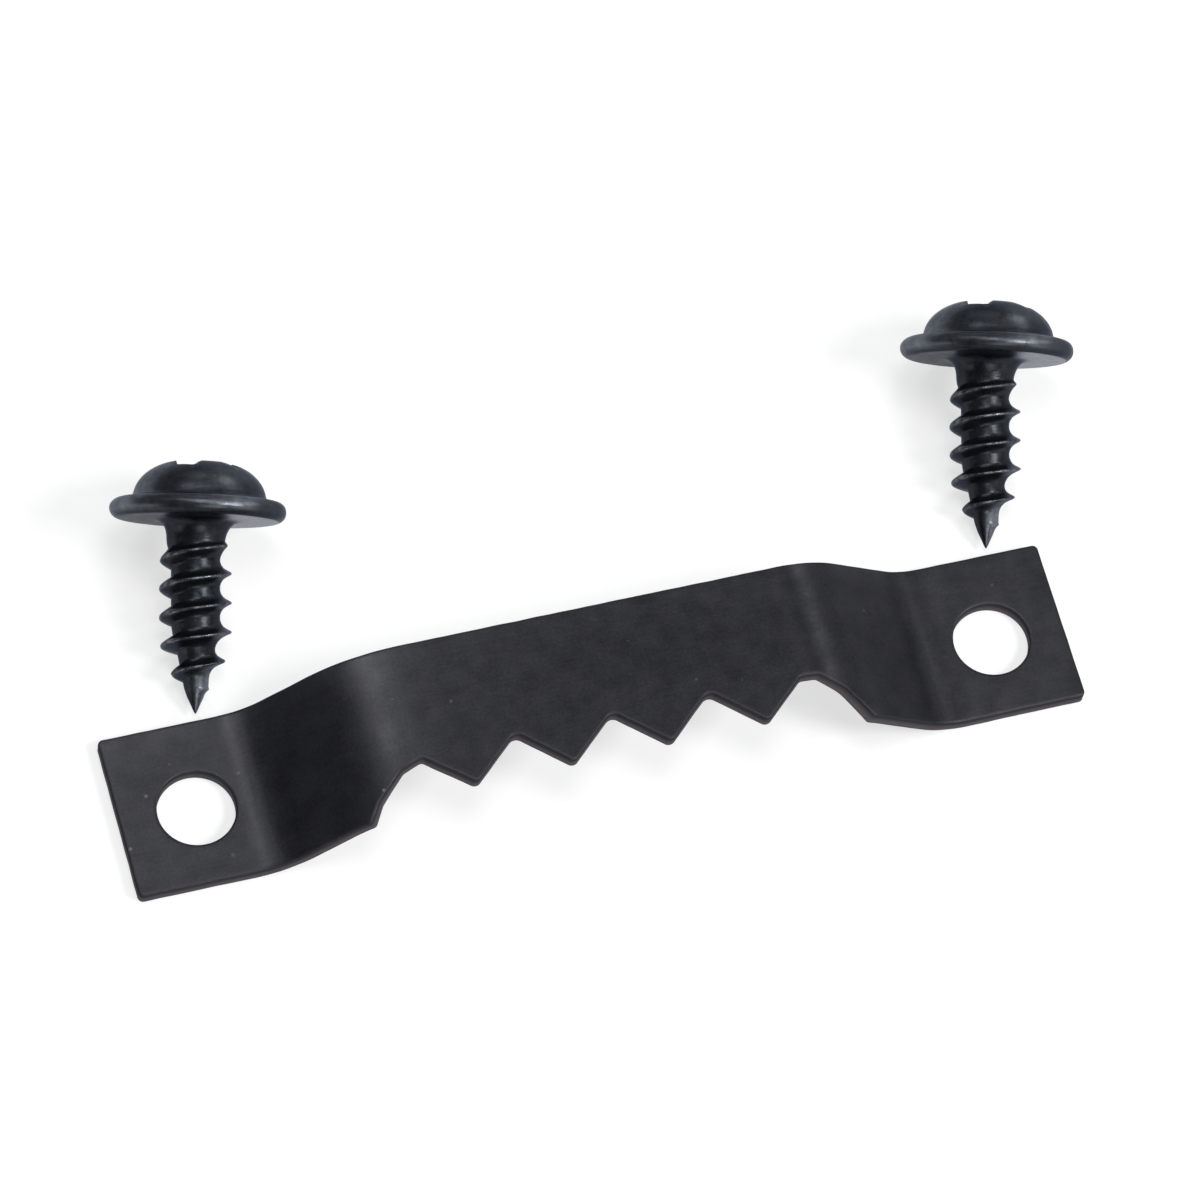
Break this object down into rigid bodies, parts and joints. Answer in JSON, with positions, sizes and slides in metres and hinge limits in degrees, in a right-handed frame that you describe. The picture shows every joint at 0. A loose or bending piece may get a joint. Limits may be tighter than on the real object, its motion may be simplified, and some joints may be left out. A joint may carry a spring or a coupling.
{
  "type": "sawtooth picture hanger",
  "caption": "Bent sheet-steel sawtooth hanger strip with a screw hole in each flat tab and V notches for a nail, with its washer-head cross-recess tapping screws lying beside it.",
  "frame": {"origin": "midway between the centres of the two screw holes, on the plane of the tabs' backs, which is the surface everything lies on", "axes": "+X along the strip, towards the right-hand hole; +Y across it, from the toothed edge to the plain edge; +Z out of the front of the tabs, the side the raised middle stands on"},
  "size_m": [0.0488, 0.0194, 0.0076],
  "materials": {
    "strip_finish": "matt charcoal-black coated steel, faintly mottled",
    "screw_finish": "satin blue-black oxide on hardened steel, brighter on the thread crests"
  },
  "bodies": {
    "hanger": {"hanger_strip": "strip_finish"},
    "screw_left": {"left_screw": "screw_finish"},
    "screw_right": {"right_screw": "screw_finish"}
  },
  "joints": [
    {"name": "left_screw_lift", "type": "hinge", "parent": "hanger", "child": "screw_left", "pos_m": [-0.01834, 0.0026, -0.0033], "axis": [0.9694, -0.2453, 0], "range_deg": [0, 68.8]},
    {"name": "right_screw_lift", "type": "hinge", "parent": "hanger", "child": "screw_right", "pos_m": [0.01966, 0.0026, -0.0033], "axis": [0.9694, -0.2453, 0], "range_deg": [0, 68.8]}
  ]
}
